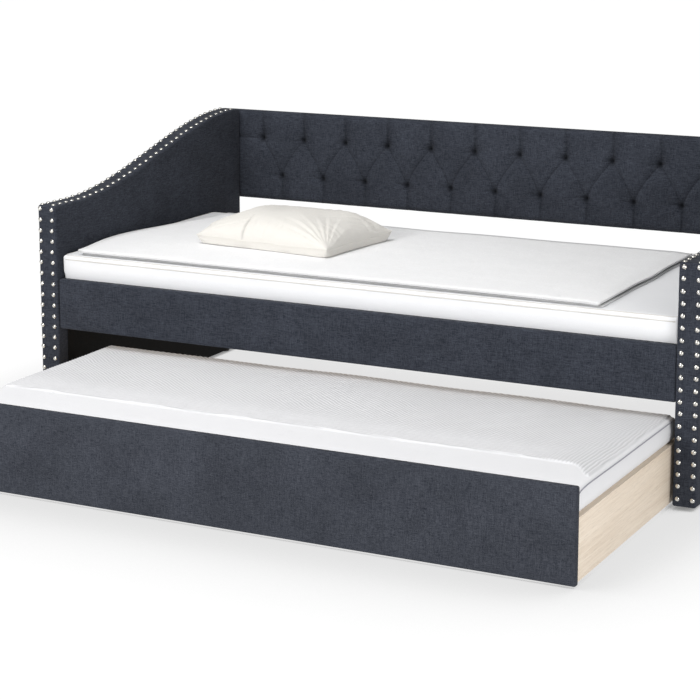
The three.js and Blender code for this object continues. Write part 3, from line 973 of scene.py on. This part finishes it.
def sharp_folds(values, seed, spread):
    """A sum of sine ridges with narrow valleys, mostly between -1 and 1."""
    count = 9
    generator = np.random.default_rng(seed)
    total = np.zeros_like(values)
    for _ in range(count):
        turn = values * generator.uniform(*spread) + generator.uniform(0, 7)
        total += generator.uniform(0.5, 1.0) * (np.abs(np.sin(turn)) * 2 - 1)
    return total / (0.55 * count)


def pillow_creases(x, y):
    """Pulls in the cloth: creases across each seam that fan out at the corners."""
    half_x, half_y = PILLOW_LENGTH / 2, PILLOW_WIDTH / 2
    creases = np.zeros_like(x)
    sides = ((half_y - y, x), (half_y + y, x), (half_x - x, y), (half_x + x, y))
    for number, (gap, along) in enumerate(sides):
        reach = 0.050 + 0.030 * np.sin(along * 23 + number * 2.1)
        rise = smooth_step(gap, 0.002, 0.018)
        folds = sharp_folds(along, 60 + number, (40, 120))
        creases += 0.0050 * folds * np.exp(-((gap / reach) ** 2)) * rise
    for number, (sx, sy) in enumerate(((1, -1), (1, 1), (-1, -1), (-1, 1))):
        dx, dy = half_x - sx * x, half_y - sy * y
        radius, angle = np.hypot(dx, dy), np.arctan2(dy, dx)
        fan = smooth_step(radius, 0.02, 0.06) * np.exp(-((radius / 0.15) ** 2))
        creases += 0.0080 * sharp_folds(angle, 70 + number, (12, 34)) * fan
    pleat = np.exp(-(((x + 0.075 + 0.12 * (y + half_y)) / 0.006) ** 2))
    creases -= 0.0050 * pleat * np.exp(-(((y + half_y - 0.03) / 0.05) ** 2))
    return creases


def make_pillow():
    """A filled pillow on the blanket: two cotton panels sewn together along one seam."""
    centre = (PILLOW_LOW + PILLOW_HIGH) / 2
    nx, ny = 132, 116
    u, v = np.meshgrid(np.linspace(-1, 1, nx + 1), np.linspace(-1, 1, ny + 1), indexing="ij")
    u = np.sin(u * math.pi / 2 * 0.86) / math.sin(0.43 * math.pi)
    v = np.sin(v * math.pi / 2 * 0.86) / math.sin(0.43 * math.pi)
    x = PILLOW_LENGTH / 2 * u * (1 - 0.045 * (1 - v**2) * u**4)
    y = PILLOW_WIDTH / 2 * v * (1 - 0.050 * (1 - u**2) * v**4)
    full = ((1 - np.abs(u) ** 2.9) * (1 - np.abs(v) ** 2.9)).clip(0) ** 0.50
    creases = pillow_creases(x, y)
    flat = np.stack([x, y, x * 0], -1).reshape(-1, 3)
    lumps = 0.0040 * ripples(flat, 0.15, 61).reshape(x.shape) * full
    height = PILLOW_HIGH[2] - PILLOW_LOW[2]
    corner = (np.abs(u) * np.abs(v)) ** 6
    seam = PILLOW_SEAM + 0.006 * corner + 0.0015 * np.sin(9 * u + 5 * v)
    upper = seam + (height - PILLOW_SEAM) * 0.97 * full + creases * (0.25 + full) + lumps
    lower = np.maximum(seam - 0.115 * full**0.8, 0.0006)
    rim = (np.abs(u) == np.abs(u).max()) | (np.abs(v) == np.abs(v).max())
    upper = np.where(rim, seam, np.maximum(upper, seam + 0.0004))
    cos, sin = math.cos(PILLOW_TURN), math.sin(PILLOW_TURN)
    points, index, faces = [], {}, []

    def vertex(i, j, layer):
        key = (i, j, 0 if rim[i, j] else layer)
        if key not in index:
            index[key] = len(points)
            z = upper[i, j] if layer or rim[i, j] else lower[i, j]
            px, py = x[i, j], y[i, j]
            turned_x, turned_y = cos * px - sin * py, sin * px + cos * py
            points.append((centre[0] + turned_x, centre[1] + turned_y, PILLOW_LOW[2] + z))
        return index[key]

    for layer in (0, 1):
        for i in range(nx):
            for j in range(ny):
                around = ((i, j), (i + 1, j), (i + 1, j + 1), (i, j + 1))
                ring = [vertex(a, b, layer) for a, b in around]
                faces.append(ring if layer else ring[::-1])
    pillow = add_mesh("pillow_cotton_case", points, faces, PILLOW_CLOTH, "frame")
    # Painted shade in the crease valleys, deeper where the cloth is pulled further in.
    painted_shade = np.zeros(len(points))
    for (i, j, layer), number in index.items():
        if layer:
            painted_shade[number] = -creases[i, j] / 0.006
    mark_painted_shade(pillow, painted_shade)
    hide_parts("pillow")
    edge = [(i, 0) for i in range(nx)] + [(nx, j) for j in range(ny)]
    edge += [(i, ny) for i in range(nx, 0, -1)] + [(0, j) for j in range(ny, 0, -1)]
    path = np.array([points[index[(i, j, 0)]] for i, j in edge])
    cord, cord_faces = tube(path, PILLOW_CORD, closed=True)
    add_mesh("pillow_seam", cord, cord_faces, PILLOW_CLOTH, "frame")


make_pillow()

# ---- Floor and light ---------------------------------------------------------------------------


def make_floor():
    """A pale floor that glows and fades to white, with painted shadow: ambient occlusion dims its
    light close to where the bed stands on it.
    """
    size = 60.0
    mesh = bpy.data.meshes.new("floor")
    mesh.from_pydata(
        [(-size, -size, 0), (size, -size, 0), (size, size, 0), (-size, size, 0)], [], [(0, 1, 2, 3)]
    )
    floor = bpy.data.objects.new("floor", mesh)
    bpy.context.scene.collection.objects.link(floor)
    paint = Paint("studio_floor", roughness=0.9)
    paint.shader.inputs["Specular IOR Level"].default_value = 0.0
    paint.shader.inputs["Base Color"].default_value = rgb(0.03, 0.03, 0.03)
    # Painted shadow: a short-range and a wide ambient occlusion dim the floor's light, a dark line
    # right under the bed and a soft shade around it.
    near = paint.node("ShaderNodeAmbientOcclusion", {"Distance": 0.09}, samples=12).outputs["AO"]
    wide = paint.node("ShaderNodeAmbientOcclusion", {"Distance": 0.60}, samples=12).outputs["AO"]
    contact_shadow = paint.stretch(near, 0.02, 0.42, 0.20, 1.0)
    soft = paint.stretch(wide, 0.66, 1.0, 0.75, 1.0)
    glow = paint.math("MULTIPLY", contact_shadow, soft)
    paint.tree.links.new(glow, paint.shader.inputs["Emission Strength"])
    paint.shader.inputs["Emission Color"].default_value = rgb(1, 1, 1)
    mesh.materials.append(paint.material)


def area_light(name, place, target, size, power):
    data = bpy.data.lights.new(name, "AREA")
    data.shape = "RECTANGLE"
    data.size, data.size_y = size
    data.energy = power
    light = bpy.data.objects.new(name, data)
    light.location = Vector(place)
    light.rotation_mode = "QUATERNION"
    light.rotation_quaternion = (Vector(target) - Vector(place)).to_track_quat("-Z", "Y")
    bpy.context.scene.collection.objects.link(light)


def make_light():
    world = bpy.data.worlds.new("studio")
    bpy.context.scene.world = world
    world.use_nodes = True
    sky = world.node_tree.nodes["Background"]
    sky.inputs["Color"].default_value = rgb(1, 1, 1)
    sky.inputs["Strength"].default_value = 0.37
    area_light("key", (-1.2, -5.1, 2.0), (0.2, -0.2, 0.3), (1.4, 1.4), 142)
    area_light("overhead", (-0.7, -0.9, 3.5), (0.1, -0.1, 0.3), (2.2, 2.0), 66)
    area_light("side", (3.1, -1.7, 0.9), (1.0, -0.5, 0.15), (0.9, 0.6), 25)


make_floor()
make_light()
bpy.context.scene.view_settings.view_transform = "Standard"
